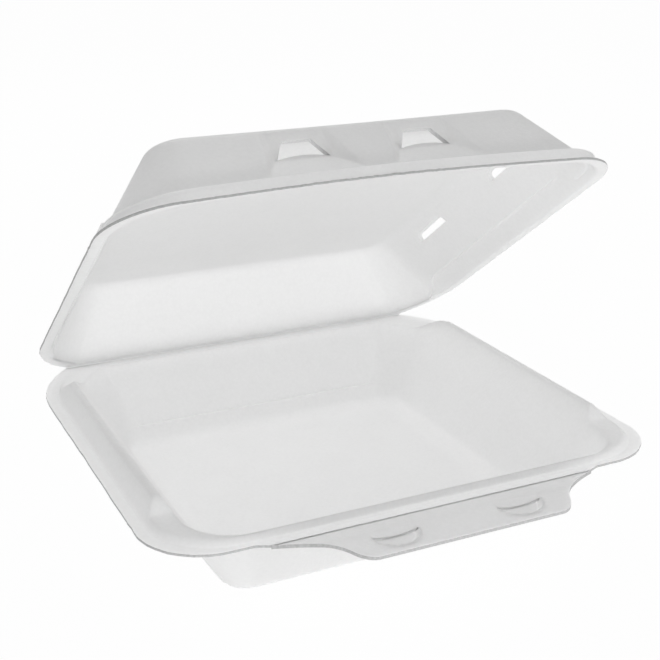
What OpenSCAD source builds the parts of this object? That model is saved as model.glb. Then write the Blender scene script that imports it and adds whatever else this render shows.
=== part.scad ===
// Hinged foam food container with a vented lid and a front lock flap, lid standing partly open.
// One thermoformed foam sheet: base tray, lid and flap are separate bodies only because the folds move.
// Frame: origin on the table under the middle of the tray, +X right, +Y to the hinge, +Z up, millimetres.

/* [Overall] */
// Width over the lips
body_w = 230; // [190:1:270]
// Depth from the hinge line to the front lip edge
body_d = 211; // [180:1:250]
// Height of the base's lip above the table
base_h = 39; // [30:1:60]
// Height of the lid above its lip
lid_h = 37; // [30:0.5:60]
// Thickness of the foam sheet
sheet = 2.2; // [1.6:0.1:2.8]
// Opening angle of the lid from closed
lid_open = 35; // [0:1:180]

/* [Base tray] */
// Width of the flat floor between the wall creases
floor_w = 149; // [110:1:170]
// Depth of the flat floor between the wall creases
floor_d = 148; // [110:1:160]
// Corner radius of the floor
floor_r = 9; // [5:0.5:20]
// Reach of the rounding between floor and walls
floor_round = 6; // [3:0.5:9]

/* [Rim] */
// Width of the flat lip on the sides
lip_w = 5; // [4:0.25:7]
// Thickness of the pressed lip at its cut edge
lip_t = 1.2; // [0.8:0.1:1.6]
// Front corner radius of the lip
lip_r = 28; // [18:1:35]
// Radius of the cut-away rear corners
rear_r = 63; // [50:1:75]
// Height of the side ridges above the lip
ridge_h = 8; // [6:0.25:10]
// Width of the ridge top
ridge_top = 3.5; // [3:0.1:6]
// Sideways run of the ridge's outer slope
ridge_run = 5.2; // [4:0.1:7]
// Length of the step at the front end of a side ridge
ridge_step = 13; // [8:0.5:20]
// Height of the low ridge along the front
front_h = 2.6; // [1.5:0.1:4]
// Set-back of the front ridge from the lip edge
front_set = 2.8; // [2.5:0.1:5]

/* [Lid] */
// Width of the top panel between the wall creases
top_w = 167; // [130:1:180]
// Inset of the top panel's front crease from the lip edge
top_front = 23.5; // [18:0.5:40]
// Inset of the top panel's rear crease from the hinge
top_rear = 20; // [14:0.5:40]
// Corner radius of the top panel
top_r = 11; // [8:0.5:24]
// Reach of the rounding between top panel and walls
top_round = 3.6; // [2:0.2:6]
// Width of the step that seats over the ridges
ledge_w = 3; // [2:0.1:5]
// Rise of the lid's front lip in the middle
front_bow = 2.4; // [0:0.1:4]
// Gap between the two lips when closed, and at the folds
fold_gap = 0.3; // [0.2:0.05:0.6]
// Headroom of the lid's step above the ridges
ridge_gap = 1.2; // [0.6:0.1:2]

/* [Lock windows and vents] */
// Distance of each lock from the middle
lock_x = 27.5; // [24:0.5:34]
// Width of a lock recess at the top panel
recess_top = 27; // [20:0.5:32]
// Width of a lock recess at the foot of its ramp
recess_foot = 41; // [32:0.5:46]
// Depth of a lock recess
recess_in = 4.2; // [2.5:0.1:6]
// Height of the window sill above the lid's lip
sill_h = 21; // [17:0.5:24]
// Height of the window
window_h = 8.5; // [6:0.25:10]
// Width of the window at its sill
window_w = 23; // [18:0.5:25]
// Length of a vent slot
vent_l = 30; // [16:1:36]
// Height of a vent slot
vent_h = 3.7; // [2.5:0.1:5]
// Place of the rear vent's middle, as a share of the depth from the hinge
vent_rear = 0.334; // [0.26:0.002:0.36]
// Spacing of the two vents on a side, as a share of the depth
vent_step = 0.384; // [0.3:0.002:0.4]

/* [Lock flap] */
// Distance of the flap's fold from the front lip edge
fold_out = 2.5; // [2:0.1:5]
// Length of the flap from its fold to its free edge
flap_l = 26.2; // [24:0.2:34]
// Thickness of the flap
flap_t = 1.4; // [1:0.1:2]
// Width of the flap's free end
flap_w = 93; // [84:1:110]
// Width of the flap where it flares into the lip
flare_w = 156; // [130:1:170]
// Rise of the flap at its crest
crest_h = 1.8; // [0:0.1:3]
// Distance of the crest from the fold
crest_at = 11; // [8:0.5:13]
// Fall of the flap from its crest to its free edge
crest_fall = 0.9; // [0:0.1:3]
// Width of a pocket along its slit
pocket_w = 20; // [14:0.5:24]
// Length of a pocket beyond its slit
pocket_l = 8.6; // [6:0.1:9.5]
// Distance of the slit from the fold
slit_at = 13.8; // [12.5:0.1:15]
// Depth of a pocket at its slit
pocket_in = 2.3; // [1.8:0.1:4]

/* [Hidden] */
$fn = 48;

// Places shared by the three bodies
hinge_y = body_d / 2;
hinge_z = base_h + fold_gap / 2;
fold_y = -body_d / 2 - fold_out;
lid_in = lid_h - sheet;

// Stations round the right half of a ring: rear corner, side, front corner, front edge
rear_n = 8;
front_n = 8;
edge_n = 5;
side_s = [0.25, 0.6, 1];
step_n = 6;
rear_a = acos(1 - 0.293);
side_run = body_d - lip_r - rear_r * sin(rear_a);

function smooth(t) = let(u = min(1, max(0, t))) u * u * (3 - 2 * u);
function bez(a, b, c, t) = a * (1 - t) * (1 - t) + 2 * b * t * (1 - t) + c * t * t;

// A station is [kind, position, ridge height, share of sideways shift]
function stations() = concat(
    [for (k = [0:rear_n]) ["r", 1 - k / rear_n, ridge_h * smooth(2 * k / rear_n - 1), 1]],
    [for (s = side_s) ["s", s * (1 - ridge_step / side_run), ridge_h, 1]],
    [for (k = [1:step_n]) let(t = k / step_n)
        ["s", 1 - (1 - t) * ridge_step / side_run, ridge_h + (front_h - ridge_h) * smooth(t), 1]],
    [for (k = [1:front_n]) ["f", k / front_n, front_h, cos(90 * k / front_n)]],
    [for (k = [1:edge_n]) ["e", 1 - k / edge_n, front_h, 0]]
);
ST = stations();

// Ring rows: side, front and rear inset, front radius, rear radius, rear arc, height, height share, shift
function ring_xy(q, st, full) = let(
    hx = body_w / 2 - q[0] - q[8] * (full - st[2]) * st[3],
    yf = -body_d / 2 + q[1],
    yr = body_d / 2 - q[2],
    rs = yr - q[4] * sin(q[5]),
    fs = yf + q[3])
    st[0] == "r" ? [hx - q[4] + q[4] * cos(q[5] * st[1]), rs + q[4] * sin(q[5] * st[1])]
    : st[0] == "s" ? [hx, rs + (fs - rs) * st[1]]
    : st[0] == "f" ? [hx - q[3] + q[3] * cos(90 * st[1]), fs - q[3] * sin(90 * st[1])]
    : [(hx - q[3]) * st[1], yf];

// Whole ring, right half then the mirrored left half
function mirrored(half) = concat(
    half,
    [for (k = [len(half) - 2:-1:0]) [-half[k][0], half[k][1], half[k][2]]]);

// Closed skin through a list of rings
module skin(rings) {
    n = len(rings[0]);
    m = len(rings);
    pts = [for (r = rings) each r];
    bands = [for (i = [0:m - 2], j = [0:n - 1])
        let(a = i * n + j, b = i * n + (j + 1) % n, c = b + n, d = a + n)
        each [[a, c, b], [a, d, c]]];
    caps = [[for (j = [0:n - 1]) j], [for (j = [n - 1:-1:0]) (m - 1) * n + j]];
    polyhedron(points = pts, faces = concat(bands, caps), convexity = 8);
}

// Base tray
foot_in = lip_w + 0.5;
crest_out = foot_in + ridge_run;
crest_in = crest_out + ridge_top;
side_floor = (body_w - floor_w) / 2;
end_floor = (body_d - floor_d) / 2;
lip_back = 6.4;
front_in = front_set + 1.8;
side_slope = (side_floor - crest_in) / (base_h + ridge_h - sheet);
front_slope = (end_floor - front_in) / (base_h + front_h - sheet);
rear_slope = (end_floor - lip_back) / (base_h - sheet);
out_slope = ridge_run / ridge_h;

// Insets of the tray's inner wall at a height above the table
function tray_in(z) = [
    side_floor - (z - sheet) * side_slope,
    end_floor - (z - sheet) * front_slope,
    end_floor - (z - sheet) * rear_slope];
// The same for its outer skin
function tray_out(z) = tray_in(z) - sheet * [
    sqrt(1 + side_slope * side_slope),
    sqrt(1 + front_slope * front_slope),
    sqrt(1 + rear_slope * rear_slope)];

// Corner shape on the way from floor to lip
function blend_r(t) = [
    floor_r + (lip_r - 3 - floor_r) * t,
    floor_r + (rear_r - 20 - floor_r) * t,
    90 + (rear_a + 8 - 90) * t];
function row(ins, r, z, w = 0, k = 0) = [ins[0], ins[1], ins[2], r[0], r[1], r[2], z, w, k];
lip_row = [lip_r, rear_r, rear_a];
foot_row = [lip_r - 0.5, rear_r - 4, rear_a + 2];
slope_row = [lip_r - 1, rear_r - 7, rear_a + 2.5];
crest_row = [lip_r - 1.5, rear_r - 9, rear_a + 3];

function tray_rows() = let(
    f = floor_round,
    flat = tray_in(sheet) + [f * 0.7, f * 0.7, f * 0.7],
    fold = tray_in(sheet),
    wall = tray_in(sheet + f),
    oflat = tray_out(0) + [f * 0.7, f * 0.7, f * 0.7],
    ofold = tray_out(0),
    owall = tray_out(f))
    concat(
        [for (t = [0, 0.33, 0.67, 1])
            row(bez(flat, fold, wall, t), blend_r(0.08 * t), bez(sheet, sheet, sheet + f, t))],
        [row([crest_in + 0.25, front_in + 0.35, lip_back + 0.3], blend_r(1), base_h - 0.6, 1, side_slope),
        row([crest_in - 0.5, front_in - 0.1, lip_back - 0.5], blend_r(1) + [0.5, 1, 0], base_h, 1, side_slope),
        row([crest_out + 0.5, front_set + 0.8, lip_back - 0.9], crest_row, base_h, 1, -out_slope),
        row([crest_out - 0.3, front_set + 0.5, lip_back - 1.1], slope_row, base_h, 3, -out_slope),
        row([foot_in, front_set, lip_back - 1.4], foot_row, base_h),
        row([0, 0, fold_gap / 2], lip_row, base_h),
        row([0, 0, fold_gap / 2], lip_row, base_h - lip_t),
        row([foot_in + 1.2, front_set + 0.3, lip_back - 1.2], foot_row, base_h - sheet),
        row([crest_out + 1.6, front_set + 1.2, lip_back - 0.8], crest_row, base_h - sheet, 2, -out_slope),
        row([crest_in - 1.3, front_in + 0.7, lip_back - 0.4], blend_r(1), base_h - sheet, 2, side_slope)],
        [for (t = [1, 0.67, 0.33, 0]) row(bez(oflat, ofold, owall, t), blend_r(0.08 * t), bez(0, 0, f, t))]
    );

// Height of a tray ring at a station: plain, on the ridge, or in the hollow under the ridge
function tray_z(q, st) = q[6] + (q[7] == 1 ? st[2]
    : q[7] == 3 ? max(0, st[2] - 0.5)
    : q[7] == 2 ? max(0, st[2] - 1.4) * 1.09
    : 0);

module tray_shell() {
    skin([for (q = tray_rows())
        mirrored([for (st = ST) let(p = ring_xy(q, st, ridge_h)) [p[0], p[1], tray_z(q, st)]])]);
}

flap_top = base_h - 0.15;

// Outline of the flap and its root, flared into the lip by an S-curve at each end
flap_end = fold_y - flap_l;
function flap_x(y) = let(t = (-body_d / 2 - y) / (fold_out + flap_l))
    flap_w / 2 + (flare_w - flap_w) / 2 * pow(1 - min(1, max(0, t)), 2.2);
function flap_half() = let(r = 7, y0 = -body_d / 2 + 1.5, y1 = flap_end + r)
    concat(
        [for (k = [0:14]) let(y = y0 + (y1 - y0) * k / 14) [flap_x(y), y]],
        [for (a = [15:15:90]) [flap_x(y1) - r + r * cos(a), y1 - r * sin(a)]]);
module flap_outline() {
    half = flap_half();
    polygon(concat(half, [for (k = [len(half) - 1:-1:0]) [-half[k][0], half[k][1]]]));
}

module base_tray() {
    color("white") {
        tray_shell();
        // Root of the flap, up to its score
        translate([0, 0, flap_top - flap_t])
            linear_extrude(height = flap_t)
                intersection() {
                    flap_outline();
                    translate([-flare_w, fold_y + fold_gap / 2])
                        square([2 * flare_w, fold_out + 4]);
                }
    }
}

// Lid, drawn closed in its own frame: height 0 at the underside of its lip
side_top = (body_w - top_w) / 2;
band_h = ridge_h + ridge_gap;
band_front = front_h + ridge_gap;
band_run = 4.5;
ledge_out = lip_w + band_run;
ledge_in = ledge_out + ledge_w;
front_band = front_set - 0.4;
front_ledge = front_band + 0.5 + ledge_w;
lid_side = (side_top - ledge_in) / (lid_in - band_h - 0.4);
lid_front = (top_front - front_ledge) / (lid_in - band_front - 0.4);
hem_back = 4.8;
lid_rear = (top_rear - hem_back) / lid_in;
band_slope = band_run / band_h;

// Insets of the lid's inner wall at a height above its lip, and of its outer skin
function lid_wall(z) = [
    side_top - (lid_in - z) * lid_side,
    top_front - (lid_in - z) * lid_front,
    top_rear - (lid_in - z) * lid_rear];
function lid_skin(z) = lid_wall(z) - sheet * [
    sqrt(1 + lid_side * lid_side),
    sqrt(1 + lid_front * lid_front),
    sqrt(1 + lid_rear * lid_rear)];
function top_rr(t) = [
    top_r + (lip_r - 3 - top_r) * t,
    top_r + (rear_r - 20 - top_r) * t,
    90 + (rear_a + 8 - 90) * t];

function lid_rows() = let(
    f = top_round,
    flat = lid_wall(lid_in) + [f * 0.7, f * 0.7, f * 0.7],
    fold = lid_wall(lid_in),
    wall = lid_wall(lid_in - f),
    oflat = lid_skin(lid_h) + [f * 0.7, f * 0.7, f * 0.7],
    ofold = lid_skin(lid_h),
    owall = lid_skin(lid_h - f),
    up = lid_skin(band_h + 2.4),
    upf = lid_skin(band_front + 2.4))
    concat(
        [for (t = [0, 0.33, 0.67, 1])
            row(bez(oflat, ofold, owall, t), top_rr(0.12 * t), bez(lid_h, lid_h, lid_h - f, t))],
        [row([up[0], upf[1], 3.9], top_rr(1), sheet + 0.8, 0.95, -lid_side),
        row([ledge_out - 1.6, 0.6, 3.4], [lip_r - 1, rear_r - 7, rear_a + 2], sheet + 0.3, 0.92, -band_slope),
        row([lip_w - 1.4, 0.3, 3], [lip_r - 0.5, rear_r - 4, rear_a + 1], sheet),
        row([0, 0, fold_gap / 2], lip_row, lip_t),
        row([0, 0, fold_gap / 2], lip_row, 0),
        row([lip_w, front_band, 4.5], [lip_r - 0.5, rear_r - 6.5, rear_a + 2], 0),
        row([ledge_out, front_band + 0.5, 5], [lip_r - 1, rear_r - 9, rear_a + 4], 0.2, 1, -band_slope),
        row([ledge_in, front_ledge, 5.4], top_rr(1), 0.6, 1, -lid_side)],
        [for (t = [1, 0.67, 0.33, 0])
            row(bez(flat, fold, wall, t), top_rr(0.12 * t), bez(lid_in, lid_in, lid_in - f, t))]
    );

// Step of the lid's lower band above the ridge at a station
function band_at(st) = st[2] + ridge_gap * min(1, st[2] / 2);
function bow_at(x) = front_bow * pow(max(0, 1 - pow(x / (body_w / 2 - 8), 2)), 1.5);
function lid_z(q, st, p) = q[6] + q[7] * band_at(st) - (q[7] > 0 ? 0.2 : 0)
    + (st[0] == "e" || st[0] == "f" ? bow_at(p[0]) * max(0, 1 - q[6] / 20) : 0);

module lid_shell() {
    skin([for (q = lid_rows())
        mirrored([for (st = ST) let(p = ring_xy(q, st, ridge_h)) [p[0], p[1], lid_z(q, st, p)]])]);
}

// Place on the lid's front wall: distance in from the outer skin and height above the lip
function front_pt(x, z, deep) = [x, -body_d / 2 + lid_skin(z)[1] + deep, z];
recess_head = lid_h - 1.5;
recess_low = sill_h - 11;

// Solid of one lock recess: steep back face over a ramp, grown by g to make its inner skin
module recess(x, g) {
    hull() {
        for (s = [-1, 1]) {
            translate(front_pt(x + s * (recess_top / 2 + g), recess_head, g > 0 ? g : -0.2))
                cube(0.01);
            translate(front_pt(x + s * (recess_foot / 2 + g), recess_low - g * 0.6, g > 0 ? g : -0.2))
                cube(0.01);
            translate(front_pt(x + s * (recess_top / 2 - 0.6 + g), sill_h - g * 0.35, recess_in + g * 1.1))
                cube(0.01);
            translate(front_pt(x + s * (recess_top / 2 + g), recess_head, g > 0 ? 0.4 : -4))
                cube(0.01);
            translate(front_pt(x + s * (recess_foot / 2 + g), recess_low - g * 0.6, g > 0 ? 0.4 : -4))
                cube(0.01);
        }
    }
}

// Trapezoid window with an arched sill, cut through the back face of a recess
module window(x) {
    low = [for (k = [-6:6]) let(u = k / 6) [u * window_w / 2, sill_h - 0.8 + 1.6 * (1 - u * u)]];
    translate([x, -body_d / 2 + top_front + 6, 0])
        rotate([90, 0, 0])
            linear_extrude(height = 16)
                polygon(concat(low, [
                    [window_w * 0.28, sill_h + window_h],
                    [-window_w * 0.28, sill_h + window_h]]));
}

// Vent slot through both side walls, straight below and rounded above
module vent(y) {
    z0 = lid_in - 11.4;
    arc = [for (a = [0:15:90]) [vent_l / 2 - 4 + 4 * cos(a), z0 + vent_h - 2.8 + 2.8 * sin(a)]];
    top = concat([[vent_l / 2, z0]], arc);
    translate([-body_w / 2 - 1, y, 0])
        rotate([90, 0, 90])
            linear_extrude(height = body_w + 2)
                polygon(concat(top, [for (k = [len(top) - 1:-1:0]) [-top[k][0], top[k][1]]]));
}

module lid_closed() {
    difference() {
        union() {
            lid_shell();
            for (s = [-1, 1]) recess(s * lock_x, sheet);
        }
        for (s = [-1, 1]) recess(s * lock_x, 0);
        for (s = [-1, 1]) window(s * lock_x);
        for (k = [0, 1]) vent(hinge_y - body_d * (vent_rear + k * vent_step));
    }
}

module lid() {
    color("white")
        translate([0, hinge_y, hinge_z])
            rotate([-lid_open, 0, 0])
                translate([0, -hinge_y, fold_gap / 2])
                    lid_closed();
}

// Lock flap: bent tongue with two pressed pockets, each open at a slit
function flap_rise(s) = s < crest_at ? crest_h * s / crest_at
    : crest_h - crest_fall * (s - crest_at) / (flap_l - crest_at);

module flap_sheet() {
    s_end = flap_l + 1;
    up = [[0, 0], [crest_at - 2, flap_rise(crest_at - 2)], [crest_at, crest_h * 0.95],
        [crest_at + 2, flap_rise(crest_at + 2)], [s_end, flap_rise(s_end)]];
    down = [for (k = [len(up) - 1:-1:0]) [up[k][0], up[k][1] - flap_t]];
    intersection() {
        translate([-flare_w, fold_y, flap_top])
            rotate([90, 0, 90])
                linear_extrude(height = 2 * flare_w)
                    polygon([for (p = concat(up, down)) [-p[0], p[1]]]);
        translate([0, 0, flap_top - 20])
            linear_extrude(height = 40)
                intersection() {
                    flap_outline();
                    translate([-flare_w, flap_end - 1])
                        square([2 * flare_w, flap_l + 1 - fold_gap / 2]);
                }
    }
}

// Wedge of one pocket: deepest at the slit, running out at a round edge, grown by g for its outer skin
module pocket(x, g) {
    r = (pow(pocket_w / 2, 2) + pow(pocket_l, 2)) / (2 * pocket_l);
    z0 = flap_top + flap_rise(slit_at);
    fall = flap_rise(slit_at) - flap_rise(slit_at + pocket_l);
    intersection() {
        translate([x - pocket_w, fold_y - slit_at, z0])
            rotate([90, 0, 90])
                linear_extrude(height = 2 * pocket_w)
                    polygon([
                        [0, g > 0 ? -0.6 : 6],
                        [0, -pocket_in - g],
                        [-pocket_l * 0.35, -pocket_in * 0.85 - g],
                        [-pocket_l - g, -fall + (g > 0 ? -flap_t * 0.8 : 0)],
                        [-pocket_l - g, g > 0 ? -fall - 0.6 : 6]]);
        translate([x, fold_y - slit_at - pocket_l + r, z0 - 20])
            cylinder(r = r + g, h = 40);
        translate([x - pocket_w, fold_y - slit_at - 2 * pocket_w, z0 - 20])
            cube([2 * pocket_w, 2 * pocket_w, 40]);
    }
}

module lock_flap() {
    color("white")
        difference() {
            union() {
                flap_sheet();
                for (s = [-1, 1]) pocket(s * lock_x, flap_t * 0.8);
            }
            for (s = [-1, 1]) pocket(s * lock_x, 0);
        }
}

base_tray();
lid();
lock_flap();
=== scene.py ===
from math import acos, cos, pi, radians, sin, sqrt

import bmesh
import bpy
from mathutils import Matrix, Vector, noise


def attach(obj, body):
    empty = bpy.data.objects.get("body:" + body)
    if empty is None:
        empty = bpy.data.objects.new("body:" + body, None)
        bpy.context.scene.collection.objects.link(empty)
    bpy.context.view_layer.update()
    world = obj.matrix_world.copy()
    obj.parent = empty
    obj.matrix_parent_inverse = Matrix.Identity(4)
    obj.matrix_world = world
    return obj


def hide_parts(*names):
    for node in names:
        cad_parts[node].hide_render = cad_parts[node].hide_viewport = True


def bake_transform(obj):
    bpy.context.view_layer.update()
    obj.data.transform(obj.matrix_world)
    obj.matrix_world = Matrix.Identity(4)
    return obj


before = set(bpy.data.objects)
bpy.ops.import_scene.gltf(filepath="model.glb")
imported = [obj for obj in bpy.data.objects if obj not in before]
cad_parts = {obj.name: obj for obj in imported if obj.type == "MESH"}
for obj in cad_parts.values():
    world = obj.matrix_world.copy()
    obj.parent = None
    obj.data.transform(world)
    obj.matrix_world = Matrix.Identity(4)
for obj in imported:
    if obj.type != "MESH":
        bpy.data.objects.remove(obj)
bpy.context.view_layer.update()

MM = 0.001

# Base tray
# The deep lower half of the container, pressed from white foam sheet: a flat floor, leaning walls,
# a high ridge along each side, a low one along the front, and a thin pressed lip all round.
body_w, body_d, base_h = 230.0, 211.0, 39.0
sheet, lip_t, fold_gap = 2.2, 1.2, 0.3
floor_w, floor_d, floor_r = 149.0, 148.0, 9.0
lip_w, lip_r, rear_r = 5.0, 28.0, 63.0
ridge_h, ridge_top, ridge_run, ridge_step = 8.0, 3.5, 5.2, 13.0
front_h, front_set = 2.6, 2.8
rear_arc = acos(1 - 0.293)


class Bench:
    """Makes the nodes of one material; a value that it returns takes Python arithmetic."""

    def __init__(self, name):
        self.material = bpy.data.materials.new(name)
        self.material.use_nodes = True
        self.tree = self.material.node_tree
        self.tree.nodes.clear()

    def node(self, kind, settings=(), **sockets):
        made = self.tree.nodes.new("ShaderNode" + kind)
        for key, value in dict(settings).items():
            setattr(made, key, value)
        for key, value in sockets.items():
            socket = made.inputs[int(key[1:])] if key[1:].isdigit() else made.inputs[key.replace("_", " ")]
            if isinstance(value, Value):
                self.tree.links.new(value.socket, socket)
            else:
                socket.default_value = value
        return made

    def value(self, node, output=0):
        return Value(self, node.outputs[output])


class Value:
    """One output socket; sums and products of it add Math nodes."""

    def __init__(self, bench, socket):
        self.bench, self.socket = bench, socket

    def math(self, operation, a, b):
        return self.bench.value(self.bench.node("Math", {"operation": operation}, i0=a, i1=b))

    def __add__(self, other):
        return self.math("ADD", self, other)

    __radd__ = __add__

    def __sub__(self, other):
        return self.math("SUBTRACT", self, other)

    def __rsub__(self, other):
        return self.math("SUBTRACT", other, self)

    def __mul__(self, other):
        return self.math("MULTIPLY", self, other)

    __rmul__ = __mul__


skin_white, skin_shade = (0.95, 0.95, 0.947), (0.89, 0.89, 0.887)
foam_depth, foam_through = 0.03, 0.85


def foam_skin(name, depth, painted_shade_factor=1.0):
    """Satin skin of white foam: fine closed cells, faint clouding, a slight print of the mould.

    Light goes in and comes out again within depth, in metres; the last argument darkens the colour by its
    factor, as painted shade.
    """
    bench = Bench(name)
    place = bench.value(bench.node("TexCoord"), "Object")
    cells = bench.value(bench.node("TexVoronoi", Vector=place, Scale=620.0, Randomness=1.0), "Distance")
    grain = bench.value(bench.node("TexNoise", Vector=place, Scale=1500.0, Detail=3.0, Roughness=0.6), "Fac")
    cloud = bench.value(bench.node("TexNoise", Vector=place, Scale=55.0, Detail=3.0, Roughness=0.55), "Fac")
    wave = bench.value(bench.node("TexNoise", Vector=place, Scale=14.0, Detail=1.0), "Fac")
    shade = cells * 0.55 + grain * 0.35 + cloud * 0.5 - 0.32
    colour = bench.value(bench.node("Mix", {"data_type": "RGBA"}, i0=shade,
                                    i6=[part * painted_shade_factor for part in skin_white] + [1],
                                    i7=[part * painted_shade_factor for part in skin_shade] + [1]), 2)
    rough = 0.42 + cloud * 0.16 + grain * 0.08
    relief = cells * 0.35 + grain * 0.4 + wave * 6.0
    bump = bench.value(bench.node("Bump", Height=relief, Strength=0.35, Distance=0.00025), "Normal")
    skin = bench.node("BsdfPrincipled", Base_Color=colour, Roughness=rough, Normal=bump)
    skin.inputs["Specular IOR Level"].default_value = 0.35
    skin.inputs["Subsurface Weight"].default_value = foam_through
    skin.inputs["Subsurface Radius"].default_value = (1.0, 1.0, 1.0)
    skin.inputs["Subsurface Scale"].default_value = depth
    out = bench.node("OutputMaterial")
    bench.tree.links.new(skin.outputs[0], out.inputs[0])
    return bench.material


foam = foam_skin("foam_skin", foam_depth)


def cut_face(name, pale, dark):
    """Foam where a knife went through it: open beads, rougher than the skin; its greyer colour is painted
    shade of the shaded cut edge.
    """
    bench = Bench(name)
    place = bench.value(bench.node("TexCoord"), "Object")
    beads = bench.value(bench.node("TexVoronoi", Vector=place, Scale=1100.0), "Distance")
    grain = bench.value(bench.node("TexNoise", Vector=place, Scale=2400.0, Detail=2.0), "Fac")
    shade = beads * 0.9 + grain * 0.4 - 0.2
    colour = bench.value(bench.node("Mix", {"data_type": "RGBA"}, i0=shade, i6=(pale, pale, pale, 1),
                                    i7=(dark, dark, dark, 1)), 2)
    bump = bench.value(bench.node("Bump", Height=beads + grain, Strength=0.6, Distance=0.0003), "Normal")
    rough = 0.7 + grain * 0.2
    face = bench.node("BsdfPrincipled", Base_Color=colour, Roughness=rough, Normal=bump)
    face.inputs["Specular IOR Level"].default_value = 0.2
    out = bench.node("OutputMaterial")
    bench.tree.links.new(face.outputs[0], out.inputs[0])
    return bench.material


# The knife-edge material below is much darker than the skin: painted shade standing in for the dark lines
# along cut edges.
cut_edge_painted_shade = cut_face("cut_edge_painted_shade", 0.6, 0.44)
# The window's cut material below is greyer than the skin as painted shade of the shaded cut faces.
window_cut_painted_shade = cut_face("window_cut_painted_shade", 0.86, 0.7)


def smooth(t):
    """Rises from 0 to 1, level at both ends."""
    u = min(1.0, max(0.0, t))
    return u * u * (3 - 2 * u)


def rim_stations():
    """Places round the right half of a rim: (stretch, position, ridge height, sideways share)."""
    hinge_n, rear_n, side_n, step_n, corner_n, front_n = 12, 26, 18, 18, 22, 100
    side_run = body_d - lip_r - rear_r * sin(rear_arc)
    step = ridge_step / side_run
    places = [("hinge", k / hinge_n, 0.0, 1.0) for k in range(hinge_n)]
    places += [("rear", 1 - k / rear_n, ridge_h * smooth(2 * k / rear_n - 1), 1.0) for k in range(rear_n + 1)]
    places += [("side", k / side_n * (1 - step), ridge_h, 1.0) for k in range(1, side_n + 1)]
    for k in range(1, step_n + 1):
        down = smooth((k / step_n - 0.2) / 0.6)
        places.append(("side", 1 - (1 - k / step_n) * step, ridge_h + (front_h - ridge_h) * down, 1.0))
    places += [("corner", k / corner_n, front_h, cos(pi / 2 * k / corner_n)) for k in range(1, corner_n + 1)]
    places += [("front", 1 - k / front_n, front_h, 0.0) for k in range(1, front_n + 1)]
    return places


STATIONS = rim_stations()


def rim_place(row, place):
    """Point of one pressed line (side, front, rear inset, radii, arc, shift) at a station."""
    side, front, rear, front_rad, rear_rad, arc, shift = row
    stretch, at, height, share = place
    half = body_w / 2 - side - shift * (ridge_h - height) * share
    y_front, y_rear = -body_d / 2 + front, body_d / 2 - rear
    y_arc, y_side = y_rear - rear_rad * sin(arc), y_front + front_rad
    if stretch == "hinge":
        return (half - rear_rad + rear_rad * cos(arc)) * at, y_rear
    if stretch == "rear":
        return half - rear_rad + rear_rad * cos(arc * at), y_arc + rear_rad * sin(arc * at)
    if stretch == "side":
        return half, y_arc + (y_side - y_arc) * at
    if stretch == "corner":
        turn = pi / 2 * at
        return half - front_rad + front_rad * cos(turn), y_side - front_rad * sin(turn)
    return (half - front_rad) * at, y_front


def eased_line(points, rounds):
    """A pressed section: straight runs cut into pieces, each corner eased by its own round."""
    line = [points[0]]
    last = len(points) - 1
    for i in range(1, last + 1):
        reach, steps, cuts = rounds[i]
        here = points[i]
        if i == last:
            stop = here
        else:
            back, ahead = points[i - 1] - here, points[i + 1] - here
            stop = here + back.normalized() * min(reach, 0.45 * back.length)
            leave = here + ahead.normalized() * min(reach, 0.45 * ahead.length)
        start = line[-1]
        line += [start.lerp(stop, k / cuts) for k in range(1, cuts + 1)]
        if i < last:
            for k in range(1, steps + 1):
                t = k / steps
                line.append(stop * (1 - t) ** 2 + here * 2 * t * (1 - t) + leave * t ** 2)
    return line


rag, rag_pitch = 0.28, 0.45
root_half, root_flare, root_out, root_drop = 71.0, 7.5, 2.46, 0.15


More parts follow.
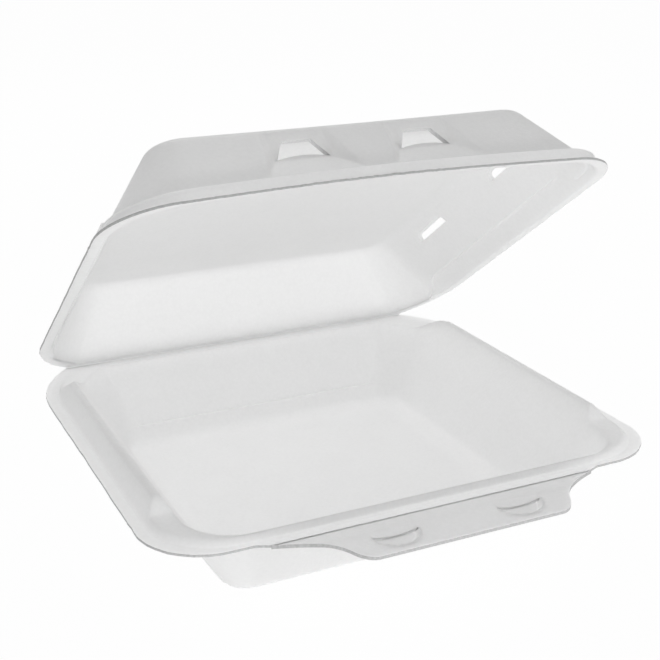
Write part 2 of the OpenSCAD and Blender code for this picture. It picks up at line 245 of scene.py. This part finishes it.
def moulded_shell(name, rows, rounds, height, press, knife_row, front_whole):
    """Closed shell grown ring by ring from a circle.

    The lip's edge, at knife_row, is ragged and bare, but whole at the hinge and at the front
    up to front_whole from the middle, where the sheet runs on.
    """
    half = []
    for place in STATIONS:
        section = []
        for row in rows:
            x, y = rim_place(row[:7], place)
            section.append(Vector((x, y, height(row, place, x))))
        half.append(eased_line(section, rounds))
    half = [[press(p) for p in line] for line in half]
    left = [[Vector((-p.x, p.y, p.z)) for p in line] for line in half[-2:0:-1]]
    lines = half + left
    count = len(lines)
    ring_end = [0]
    for _, steps, cuts in rounds[1:]:
        ring_end.append(ring_end[-1] + cuts + steps)
    knife_from, knife_to = ring_end[knife_row] - rounds[knife_row][1], ring_end[knife_row + 1]
    bare = []
    for line in lines:
        inward = (line[knife_from - 1] - line[knife_from]).normalized()
        whole = inward.y < -0.99 or (inward.y > 0.99 and abs(line[0].x) < front_whole)
        bare.append(not whole)
        if not whole:
            spot = line[knife_from] * rag_pitch
            torn = 0.5 + noise.noise(spot) + 0.5 * noise.noise(spot * 3)
            for ring in range(knife_from, knife_to + 1):
                line[ring] = line[ring] + inward * rag * max(0, torn)
    bpy.ops.object.select_all(action="DESELECT")
    bpy.ops.mesh.primitive_circle_add(vertices=count, radius=0.1)
    shell = bpy.context.object
    shell.name = shell.data.name = name
    bpy.ops.object.mode_set(mode="EDIT")
    bpy.ops.mesh.select_mode(type="EDGE")
    bpy.ops.mesh.select_all(action="SELECT")
    for ring in range(len(lines[0])):
        if ring:
            bpy.ops.mesh.extrude_edges_indiv()
        grown = bmesh.from_edit_mesh(shell.data)
        grown.verts.ensure_lookup_table()
        for k in range(count):
            grown.verts[ring * count + k].co = lines[k][ring] * MM
    bmesh.update_edit_mesh(shell.data)
    bpy.ops.mesh.select_all(action="DESELECT")
    bpy.ops.mesh.select_non_manifold(extend=False)
    bpy.ops.mesh.fill_holes(sides=0)
    bpy.ops.mesh.select_all(action="SELECT")
    bpy.ops.mesh.normals_make_consistent(inside=False)
    bpy.ops.object.mode_set(mode="OBJECT")
    # The bare knife edge takes the cut material, whose dark colour is painted shade of the cut edge.
    shell.data.materials.append(foam)
    shell.data.materials.append(cut_edge_painted_shade)
    for face in shell.data.polygons:
        rings = [v // count for v in face.vertices]
        if min(rings) > knife_from and max(rings) < knife_to and all(bare[v % count] for v in face.vertices):
            face.material_index = 1
    return shell


foot_in = lip_w + 0.5
crest_out = foot_in + ridge_run
crest_in = crest_out + ridge_top
side_floor, end_floor = (body_w - floor_w) / 2, (body_d - floor_d) / 2
lip_back, front_in = 6.4, front_set + 1.8
flat_in = 14
tray_slopes = (
    (side_floor - crest_in) / (base_h + ridge_h - sheet),
    (end_floor - front_in) / (base_h + front_h - sheet),
    (end_floor - lip_back) / (base_h - sheet))
out_slope = ridge_run / ridge_h
floor_line = (side_floor, end_floor, end_floor)
foot_line = [a + sheet * s - sheet * sqrt(1 + s * s) for a, s in zip(floor_line, tray_slopes)]


def tray_corner(t):
    """Corner radii and rear arc on the way from the floor to the lip."""
    return (floor_r + (lip_r - 3 - floor_r) * t, floor_r + (rear_r - 20 - floor_r) * t,
            pi / 2 + (rear_arc + radians(8) - pi / 2) * t)


lip_turn = (lip_r, rear_r, rear_arc)
foot_turn = (lip_r - 0.5, rear_r - 4, rear_arc + radians(2))
crest_turn = (lip_r - 1.5, rear_r - 9, rear_arc + radians(3))
PLAIN, RIDGE, HOLLOW, SCORE, BEAD = range(5)
crease_z, crease_t, crease_w = 11.4, 0.235, 0.5
bead_h = 0.35


def wall_row(z):
    """A line round the tray's walls at one height."""
    insets = [a - (z - sheet) * s for a, s in zip(floor_line, tray_slopes)]
    return (*insets, *tray_corner(crease_t), 0, z, PLAIN)


def lip_row(front):
    """A line along the lip, between the ridge's foot and the edge; the front one is scored."""
    t = front / front_set
    turn = [a + (b - a) * t for a, b in zip(lip_turn, foot_turn)]
    return (foot_in * t, front, (lip_back - 1.4) * t + fold_gap / 2 * (1 - t), *turn, 0, base_h)


score_in, score_wide, score_deep = 1.82, 0.42, 0.34
tray_rows = [
    (*[v + flat_in for v in floor_line], *tray_corner(0), 0, sheet, PLAIN),
    (*floor_line, *tray_corner(0), 0, sheet, PLAIN),
    wall_row(crease_z - crease_w),
    wall_row(crease_z),
    wall_row(crease_z + crease_w),
    (crest_in - 0.1, front_in, lip_back, *tray_corner(1), tray_slopes[0], base_h, BEAD),
    (crest_out + 0.1, front_set + 1.3, lip_back - 0.9, *crest_turn, -out_slope, base_h, RIDGE),
    (foot_in, front_set, lip_back - 1.4, *foot_turn, 0, base_h, PLAIN),
    (*lip_row(score_in + score_wide), PLAIN),
    (*lip_row(score_in), SCORE),
    (*lip_row(score_in - score_wide), PLAIN),
    (0, 0, fold_gap / 2, *lip_turn, 0, base_h, PLAIN),
    (0, 0, fold_gap / 2, *lip_turn, 0, base_h - lip_t, PLAIN),
    (foot_in + 1.2, front_set + 0.3, lip_back - 1.2, *foot_turn, 0, base_h - sheet, PLAIN),
    (crest_out + 1.6, front_set + 1.2, lip_back - 0.8, *crest_turn, -out_slope, base_h - sheet, HOLLOW),
    (crest_in - 1.3, front_in + 0.7, lip_back - 0.4, *tray_corner(1), tray_slopes[0], base_h - sheet, HOLLOW),
    (*foot_line, *tray_corner(0), 0, 0, PLAIN),
    (*[v + flat_in for v in foot_line], *tray_corner(0), 0, 0, PLAIN)]
tray_knife = 11
tray_rounds = [
    None, (7.0, 7, 3), (0.2, 1, 4), (0.2, 2, 1), (0.2, 1, 1), (1.4, 4, 10),
    (1.4, 4, 2), (1.3, 4, 2), (0.2, 1, 1), (0.2, 1, 1), (0.2, 1, 1), (0.3, 2, 2),
    (0.3, 2, 1), (1.2, 3, 3), (1.2, 3, 2), (1.2, 3, 1), (7.5, 7, 8), (0, 0, 3)]


def tray_height(row, place, x):
    """Height of one line at a station: the ridge's rise is added, and the front score pressed in."""
    rise = {PLAIN: 0, RIDGE: place[2], HOLLOW: max(0, place[2] - 1.4) * 1.09, SCORE: 0,
            BEAD: place[2] + bead_h * (1 - place[3])}
    if row[8] == SCORE and place[0] == "front":
        return row[7] - score_deep * smooth((root_half - abs(x)) / root_flare)
    return row[7] + rise[row[8]]


crease_in, crease_half, crease_fade, groove_deep = 0.5, 76.0, 16.0, 0.6


def tray_press(p):
    """The front lip runs out to the flap's score line; the rear wall has a pressed crease low down."""
    wall_y = body_d / 2 - end_floor + (p.z - sheet) * tray_slopes[2]
    if wall_y - 3 < p.y < wall_y + 1 and sheet + 1 < p.z < crease_z + crease_w:
        low = smooth((crease_z - p.z) / crease_w) * smooth((p.z - sheet - 1) / 5)
        groove = max(0, 1 - abs(p.z - crease_z) / crease_w)
        push = (groove_deep * groove - crease_in * low) * smooth((crease_half - abs(p.x)) / crease_fade)
        return Vector((p.x, p.y + push, p.z))
    t = (-body_d / 2 + front_set - p.y) / front_set
    if t <= 0 or p.z < base_h - sheet - 0.1:
        return p
    out = min(1, t) * smooth((root_half + root_flare - abs(p.x)) / root_flare)
    return Vector((p.x, p.y - root_out * out, p.z - root_drop * out))


tray = moulded_shell("tray_shell", tray_rows, tray_rounds, tray_height, tray_press, tray_knife, root_half)
bpy.ops.object.shade_smooth_by_angle(angle=radians(50))
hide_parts("base_tray")
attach(tray, "base")


# Lid
# The domed upper half of the same sheet: a flat top, leaning walls, a step that seats over the tray's
# ridges, two pressed lock recesses with cut windows in the front wall and two cut vents in each side.
lid_h, lid_open = 37.0, 35.0
top_w, top_front, top_rear, top_r = 167.0, 23.5, 20.0, 11.0
ledge_w, front_bow, ridge_gap = 3.0, 2.4, 1.2
lid_in = lid_h - sheet
side_top = (body_w - top_w) / 2
band_h, band_front, band_run = ridge_h + ridge_gap, front_h + ridge_gap, 4.5
ledge_out = lip_w + band_run
ledge_in = ledge_out + ledge_w
front_band = front_set - 0.4
front_ledge = front_band + 0.5 + ledge_w
lid_slopes = (
    (side_top - ledge_in) / (lid_in - band_h - 0.4),
    (top_front - front_ledge) / (lid_in - band_front - 0.4),
    (top_rear - 4.8) / lid_in)
band_slope = band_run / band_h
top_line = (side_top, top_front, top_rear)


def lid_outside(n):
    """Insets of the lid's outer skin at a height above its lip."""
    return [a - (lid_in - n) * s - sheet * sqrt(1 + s * s) for a, s in zip(top_line, lid_slopes)]


def lid_corner(t):
    """Corner radii and rear arc on the way from the top to the lip."""
    return (top_r + (lip_r - 3 - top_r) * t, top_r + (rear_r - 20 - top_r) * t,
            pi / 2 + (rear_arc + radians(8) - pi / 2) * t)


rib_h = 0.75
rib_turn = (lip_r - 1, rear_r - 7, rear_arc + radians(2))
crown = lid_outside(lid_h)
shoulder = (lid_outside(band_h + 2.4)[0], lid_outside(band_front + 2.4)[1], 3.9)
lid_rows = [
    (*[v + flat_in for v in crown], *lid_corner(0), 0, lid_h, 0),
    (*crown, *lid_corner(0), 0, lid_h, 0),
    (*shoulder, *lid_corner(1), -lid_slopes[0], sheet + 0.8, 0.95),
    (ledge_out - 1.3, 0.9, 3.6, *rib_turn, -band_slope, sheet + 0.55, 0.92),
    (ledge_out - 2.0, 0.15, 3.3, *rib_turn, -band_slope, sheet + 0.35, 0.92),
    (ledge_out - 1.7, 0.5, 3.4, *rib_turn, -band_slope, sheet - 0.25, 0.92),
    (lip_w - 1.4, 0.3, 3, lip_r - 0.5, rear_r - 4, rear_arc + radians(1), 0, sheet, 0),
    (0, 0, fold_gap / 2, *lip_turn, 0, lip_t, 0),
    (0, 0, fold_gap / 2, *lip_turn, 0, 0, 0),
    (lip_w, front_band, 4.5, lip_r - 0.5, rear_r - 6.5, rear_arc + radians(2), 0, 0, 0),
    (ledge_out, front_band + 0.5, 5, lip_r - 1, rear_r - 9, rear_arc + radians(4), -band_slope, 0.2, 1),
    (ledge_in - 1.3, front_ledge - 1.3, 5.2, *lid_corner(1), -lid_slopes[0], 0.4, 1),
    (ledge_in - 0.5, front_ledge - 0.5, 5.3, *lid_corner(1), -lid_slopes[0], 0.5, 1, rib_h),
    (ledge_in, front_ledge, 5.4, *lid_corner(1), -lid_slopes[0], 0.6, 1),
    (*top_line, *lid_corner(0), 0, lid_in, 0),
    (*[v + flat_in for v in top_line], *lid_corner(0), 0, lid_in, 0)]
lid_knife = 7
lid_rounds = [
    None, (4.2, 6, 2), (0.8, 3, 34), (0.25, 1, 1), (0.3, 2, 1), (0.3, 1, 1),
    (0.7, 3, 2), (0.3, 2, 2), (0.3, 2, 1), (1.0, 3, 2), (0.9, 3, 3), (0.3, 1, 1),
    (0.35, 2, 1), (0.4, 2, 1), (4.2, 6, 34), (0, 0, 2)]


def lid_height(row, place, x):
    """Height of one line above the lid's lip, with the band over the ridges and the bow of the front."""
    n = row[7] + row[8] * (place[2] + ridge_gap * min(1, place[2] / 2)) - (0.2 if row[8] else 0)
    if len(row) > 9:
        n -= row[9] * place[2] / ridge_h
    if place[0] in ("corner", "front"):
        bow = front_bow * max(0, 1 - (x / (body_w / 2 - 8)) ** 2) ** 1.5
        n += bow * max(0, 1 - row[7] / 20)
    return n


lock_x, recess_in = 27.5, 4.2
recess_top, recess_foot, sill_h, valley_h = 27.0, 41.0, 21.0, 20.0
recess_head, recess_low = lid_h - 1.5, sill_h - 11
recess_wide, recess_ease = recess_top / 2, 0.3
recess_flare = (recess_foot - recess_top) / 2 / (recess_head - recess_low)


def least(a, b, ease):
    """The lesser of two depths, eased where they meet."""
    h = max(0.0, ease - abs(a - b)) / ease
    return min(a, b) - h * h * ease / 4


def recess_depth(x, n):
    """How far a lock recess is pressed in: a steep back face over a ramp, with slanting ends."""
    u = abs(abs(x) - lock_x)
    edge = recess_wide + recess_flare * (recess_head - n)
    valley = recess_flare * (recess_head - valley_h)
    back = recess_in * (recess_head - n) / (recess_head - valley_h)
    ramp = recess_in * (n - recess_low) / (valley_h - recess_low)
    end = recess_in * (edge - u) / (valley + 0.6)
    deep = least(least(back, ramp, recess_ease), end, recess_ease)
    return max(0.0, deep + max(0.0, 0.35 - abs(deep)) ** 2)


wall_back, recess_end = -74.0, 52.0


def press_recess(p):
    """Only the front wall between the outer ends of the two recesses is pressed."""
    if p.y > wall_back or abs(p.x) > recess_end:
        return p
    return Vector((p.x, p.y + recess_depth(p.x, p.z), p.z))


lid = moulded_shell("lid_shell", lid_rows, lid_rounds, lid_height, press_recess, lid_knife, 0)


def punch(piece, name, outline, start, through, inside):
    """A die of the given outline is driven through the piece and taken away."""
    bpy.ops.object.select_all(action="DESELECT")
    bpy.ops.mesh.primitive_circle_add(vertices=len(outline), fill_type="NGON")
    die = bpy.context.object
    die.name = name
    for vert, place in zip(die.data.vertices, outline):
        vert.co = (Vector(place) + Vector(start)) * MM
    bpy.ops.object.mode_set(mode="EDIT")
    bpy.ops.mesh.select_all(action="SELECT")
    bpy.ops.mesh.extrude_region_move(TRANSFORM_OT_translate={"value": Vector(through) * MM})
    bpy.ops.mesh.select_all(action="SELECT")
    bpy.ops.mesh.normals_make_consistent(inside=False)
    bpy.ops.object.mode_set(mode="OBJECT")
    die.data.materials.append(inside)
    bpy.ops.object.select_all(action="DESELECT")
    bpy.context.view_layer.objects.active = piece
    piece.select_set(True)
    cut = piece.modifiers.new(name, "BOOLEAN")
    cut.object, cut.operation, cut.solver, cut.material_mode = die, "DIFFERENCE", "EXACT", "TRANSFER"
    bpy.ops.object.modifier_apply(modifier=cut.name)
    bpy.data.objects.remove(die)


window_w, window_h = 23.0, 8.5
sill = [(u / 8 * window_w / 2, 0, sill_h - 0.8 + 1.6 * (1 - (u / 8) ** 2)) for u in range(-8, 9)]
head = [(window_w * 0.28, 0, sill_h + window_h), (-window_w * 0.28, 0, sill_h + window_h)]
window_y, window_run = -body_d / 2 + top_front + 6, 16
# The window's cut faces take the greyer cut material: painted shade of the cut faces.
for side in (-1, 1):
    punch(lid, "lock_window", sill + head, (side * lock_x, window_y, 0), (0, -window_run, 0), window_cut_painted_shade)

vent_l, vent_h, vent_rear, vent_step = 30.0, 3.7, 70.5, 81.0
vent_low = lid_in - 11.4
arc = [(0, vent_l / 2 - 4 + 4 * cos(radians(a)), vent_low + vent_h - 2.8 + 2.8 * sin(radians(a)))
       for a in range(0, 91, 15)]
slot = [(0, vent_l / 2, vent_low)] + arc
slot += [(0, -y, z) for _, y, z in reversed(slot)]
for back in (vent_rear, vent_rear + vent_step):
    punch(lid, "vent", slot, (-body_w / 2 - 1, body_d / 2 - back, 0), (body_w + 2, 0, 0), foam)
bpy.ops.object.shade_smooth_by_angle(angle=radians(50))

hinge_y, hinge_z = body_d / 2, base_h + fold_gap / 2
to_hinge = Matrix.Translation((0, hinge_y * MM, hinge_z * MM))
from_hinge = Matrix.Translation((0, -hinge_y * MM, fold_gap / 2 * MM))
raise_lid = to_hinge @ Matrix.Rotation(radians(-lid_open), 4, "X") @ from_hinge
lid.data.transform(raise_lid)
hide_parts("lid")
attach(lid, "cover")


# Lock flap
# A tongue of the same sheet left standing out of the tray's front lip. It is bent along a crest and has
# two pressed pockets, each slit along its inner edge, that catch in the lid's windows.
flap_l, flap_t, flap_w, flare_w = 26.2, 1.4, 93.0, 156.0
fold_out, flap_drop = 2.5, 0.15
crest_h, crest_at, crest_fall = 1.8, 11.0, 0.9
pocket_w, pocket_l, slit_at, pocket_in = 20.0, 8.6, 13.8, 1.9
fold_y, flap_top = -body_d / 2 - fold_out, base_h - flap_drop
end_r, plain_half = 7.0, 38.0


def flap_half(s):
    """Half width of the flap at a distance from its fold, with rounded ends."""
    flare = flap_w / 2 + (flare_w - flap_w) / 2 * max(0, 1 - (fold_out + s) / (fold_out + flap_l)) ** 2.2
    past = s - (flap_l - end_r)
    return flare if past <= 0 else flare - end_r + sqrt(max(0, end_r ** 2 - past ** 2))


def flap_rise(s):
    """Height of the flap's top over its fold: up to the crest, a little down past it, eased between."""
    past = s - crest_at
    rise = crest_h * s / crest_at if past < 0 else crest_h - crest_fall * past / (flap_l - crest_at)
    return rise - max(0, 2 - abs(past)) ** 2 * 0.03


sag, sag_run = 1.35, 4.5
wall_run, rim_h, rim_w = 1.7, 0.25, 1.2


def pocket_depth(x, s, past_slit):
    """How far the sheet is pressed down: a scoop past the slit, and a slight sag on the way to it."""
    u = abs(abs(x) - lock_x)
    if u > pocket_w / 2 + rim_w:
        return 0
    arc_r = ((pocket_w / 2) ** 2 + pocket_l ** 2) / (2 * pocket_l)
    inside = arc_r - sqrt(u ** 2 + (s - slit_at - pocket_l + arc_r) ** 2)
    if not past_slit:
        return sag * smooth((s - slit_at + sag_run) / sag_run) * max(0, 1 - (2 * u / pocket_w) ** 2)
    if inside < 0:
        return -rim_h * max(0, 1 + inside / rim_w)
    return pocket_in * min(1, inside / wall_run)


columns, root_n, pocket_n, end_n = 181, 20, 24, 10
root_gap, past_pocket = 0.04, slit_at + pocket_l + rim_w
steps = [root_gap + (slit_at - root_gap) * k / root_n for k in range(root_n)]
steps += [slit_at + (past_pocket - slit_at) * k / pocket_n for k in range(pocket_n + 1)]
steps += [past_pocket + (flap_l - past_pocket) * sin(pi / 2 * k / end_n) for k in range(1, end_n + 1)]
rows_in = len(steps)
bpy.ops.object.select_all(action="DESELECT")
bpy.ops.mesh.primitive_grid_add(x_subdivisions=columns - 1, y_subdivisions=rows_in - 1, size=1)
flap = bpy.context.object
flap.name = flap.data.name = "flap_sheet"
# The third number darkens the slit's own material: painted shade of the shadowed slit.
pressed_depth, slit_depth, slit_painted_shade = 0.012, 0.003, 0.9
foam_pressed = foam_skin("foam_pressed", pressed_depth)
foam_slit = foam_skin("foam_slit", slit_depth, slit_painted_shade)
PRESSED, CUT, SLIT = range(3)
flap.data.materials.append(foam_pressed)
flap.data.materials.append(cut_edge_painted_shade)
flap.data.materials.append(foam_slit)
plain_share = 0.64
for vert in flap.data.vertices:
    u = vert.co.x * 2
    k = round((vert.co.y + 0.5) * (rows_in - 1))
    s = steps[rows_in - 1 - k]
    if abs(u) <= plain_share:
        x = u / plain_share * plain_half
    else:
        outer = (abs(u) - plain_share) / (1 - plain_share)
        x = (plain_half + outer * (flap_half(s) - plain_half)) * (1 if u > 0 else -1)
    vert.co = Vector((x, fold_y - s, flap_top + flap_rise(s))) * MM
bpy.ops.object.mode_set(mode="EDIT")
bpy.ops.mesh.select_mode(type="EDGE")
bpy.ops.mesh.select_all(action="DESELECT")
work = bmesh.from_edit_mesh(flap.data)
for edge in work.edges:
    ends = [v.co / MM for v in edge.verts]
    on_slit = all(abs(e.y - (fold_y - slit_at)) < 1e-3 for e in ends)
    edge.select_set(on_slit and all(abs(abs(e.x) - lock_x) < pocket_w / 2 + 0.01 for e in ends))
bmesh.update_edit_mesh(flap.data)
bpy.ops.mesh.edge_split()
work = bmesh.from_edit_mesh(flap.data)
for vert in work.verts:
    s = fold_y - vert.co.y / MM
    past_slit = not any(f.calc_center_median().y > fold_y * MM - slit_at * MM for f in vert.link_faces)
    vert.co.z -= pocket_depth(vert.co.x / MM, s, past_slit) * MM
bmesh.update_edit_mesh(flap.data)
bpy.ops.object.mode_set(mode="OBJECT")
# The flap's cut rim takes the cut material, whose dark colour is painted shade of the cut edge.
thick = flap.modifiers.new("thickness", "SOLIDIFY")
thick.thickness, thick.offset, thick.material_offset_rim = flap_t * MM, -1, CUT
bpy.ops.object.modifier_apply(modifier=thick.name)
bpy.ops.object.shade_smooth_by_angle(angle=radians(40))
for face in flap.data.polygons:
    s, across = fold_y - face.center.y / MM, abs(face.center.x) / MM
    if s < 0.4:
        face.material_index = PRESSED
    elif face.material_index == CUT and abs(s - slit_at) < 0.2 and across < plain_half:
        face.material_index = SLIT
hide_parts("lock_flap")
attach(flap, "flap")


# Folds
# The sheet runs on through both folds, pressed to a thin strip shaped bent across the fold: one along the
# lid's hinge and one along the flap's score.
def fold_strip(name, half, path, thickness):
    """A thin strip of sheet along X that follows a path across the fold."""
    bpy.ops.object.select_all(action="DESELECT")
    bpy.ops.mesh.primitive_grid_add(x_subdivisions=40, y_subdivisions=len(path) - 1, size=1)
    strip = bpy.context.object
    strip.name = strip.data.name = name
    for vert in strip.data.vertices:
        y, z = path[round((vert.co.y + 0.5) * (len(path) - 1))]
        vert.co = Vector((vert.co.x * 2 * half, y, z)) * MM
    thick = strip.modifiers.new("thickness", "SOLIDIFY")
    thick.thickness, thick.offset = thickness * MM, 0
    bpy.ops.object.modifier_apply(modifier=thick.name)
    bpy.ops.object.shade_smooth_by_angle(angle=radians(50))
    strip.data.materials.append(foam)
    return strip


def lid_side(y, z):
    """Where a point of the closed lid lies with the lid raised."""
    p = raise_lid @ Vector((0, y * MM, (z - base_h - fold_gap) * MM))
    return p.y / MM, p.z / MM


hinge_half = body_w / 2 - rear_r * (1 - cos(rear_arc)) - 0.5
lid_lip = base_h + fold_gap
hinge_path = [
    (hinge_y - 0.3, base_h - 0.6), (hinge_y - 0.05, base_h - 0.45), (hinge_y + 0.12, hinge_z - 0.15),
    (hinge_y + 0.16, hinge_z),
    lid_side(hinge_y + 0.12, lid_lip + 0.05), lid_side(hinge_y - 0.05, lid_lip + 0.4),
    lid_side(hinge_y - 0.3, lid_lip + 0.55)]
strip_t = 0.5
lid_fold = fold_strip("lid_fold", hinge_half, hinge_path, strip_t)
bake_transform(lid_fold)
score_path = [
    (fold_y + 0.3, flap_top - 0.34), (fold_y + 0.12, flap_top - 0.3), (fold_y, flap_top - 0.28),
    (fold_y - 0.12, flap_top - 0.3), (fold_y - 0.3, flap_top - 0.34)]
flap_fold = fold_strip("flap_fold", flap_half(0) - 1.2, score_path, strip_t)
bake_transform(flap_fold)


# Studio
# A glowing pale floor, as of a light table, that shows white to the camera and keeps a very faint shadow,
# under an even dim sky and four lamps that the camera doesn't see; the camera stands where the
# photograph was taken from.
bpy.ops.object.select_all(action="DESELECT")
bpy.ops.mesh.primitive_plane_add(size=12, location=(0, 0, -0.0004))
floor = bpy.context.object
floor.name = "studio_floor"
bench = Bench("studio_floor")
path = bench.node("LightPath")
seen = bench.value(path, "Is Camera Ray")
paper = bench.node("BsdfDiffuse", Color=(0.93, 0.93, 0.93, 1))
white = bench.node("Emission", Color=(1, 1, 1, 1), Strength=1.0)
floor_glow, seen_more = 0.92, 0.06
mix = bench.node("MixShader", Fac=floor_glow + seen * seen_more)
bench.tree.links.new(paper.outputs[0], mix.inputs[1])
bench.tree.links.new(white.outputs[0], mix.inputs[2])
out = bench.node("OutputMaterial")
bench.tree.links.new(mix.outputs[0], out.inputs[0])
floor.data.materials.append(bench.material)

sky_light = 0.3
world = bpy.data.worlds.new("studio_sky")
bpy.context.scene.world = world
world.use_nodes = True
sky = world.node_tree
sky.nodes.clear()
ray = sky.nodes.new("ShaderNodeLightPath")
shown = sky.nodes.new("ShaderNodeMapRange")
for k, number in enumerate((0.0, 1.0, sky_light, 1.0)):
    shown.inputs[k + 1].default_value = number
sky.links.new(ray.outputs["Is Camera Ray"], shown.inputs[0])
glow = sky.nodes.new("ShaderNodeBackground")
glow.inputs["Color"].default_value = (1, 1, 1, 1)
sky.links.new(shown.outputs[0], glow.inputs["Strength"])
sky_out = sky.nodes.new("ShaderNodeOutputWorld")
sky.links.new(glow.outputs[0], sky_out.inputs[0])

# Each lamp has its name, place, watts, width and height, and points at the middle of the object.
aim = Vector((0, 0, 0.06))
lamps = [
    ("front_lamp", (0.2, -1.3, 0.7), 1.3, 1.4, 0.5),
    ("low_lamp", (0.0, -0.9, 0.04), 3.6, 1.6, 0.06),
    ("back_lamp", (0.24, 1.08, 1.08), 6.5, 1.0, 0.6),
    ("right_lamp", (1.5, -0.2, 0.5), 2.1, 0.8, 0.8)]
for name, spot, energy, wide, tall in lamps:
    bpy.ops.object.light_add(type="AREA", location=spot)
    lamp = bpy.context.object
    lamp.name = name
    lamp.data.shape = "RECTANGLE"
    lamp.visible_camera = False
    lamp.data.energy, lamp.data.size, lamp.data.size_y = energy, wide, tall
    lamp.rotation_euler = (aim - lamp.location).to_track_quat("-Z", "Y").to_euler()

eye = Vector((-223.2, -483.2, 265.4)) * MM
az, el, roll = radians(-25.35), radians(19.47), radians(-0.33)
away = Vector((sin(az) * cos(el), -cos(az) * cos(el), sin(el)))
right = Vector((0, 0, 1)).cross(away).normalized()
up = away.cross(right)
right, up = cos(roll) * right + sin(roll) * up, cos(roll) * up - sin(roll) * right
bpy.ops.object.camera_add(location=eye)
camera = bpy.context.object
camera.rotation_euler = Matrix((right, up, away)).transposed().to_euler()
picture, focal, axis_x, axis_y, film = 660, 1233.86, 335.16, 331.48, 36
camera.data.sensor_width = film
camera.data.lens = focal / picture * film
camera.data.shift_x = (picture / 2 - axis_x) / picture
camera.data.shift_y = (axis_y - picture / 2) / picture
bpy.context.scene.camera = camera
bpy.context.scene.view_settings.view_transform = "Standard"
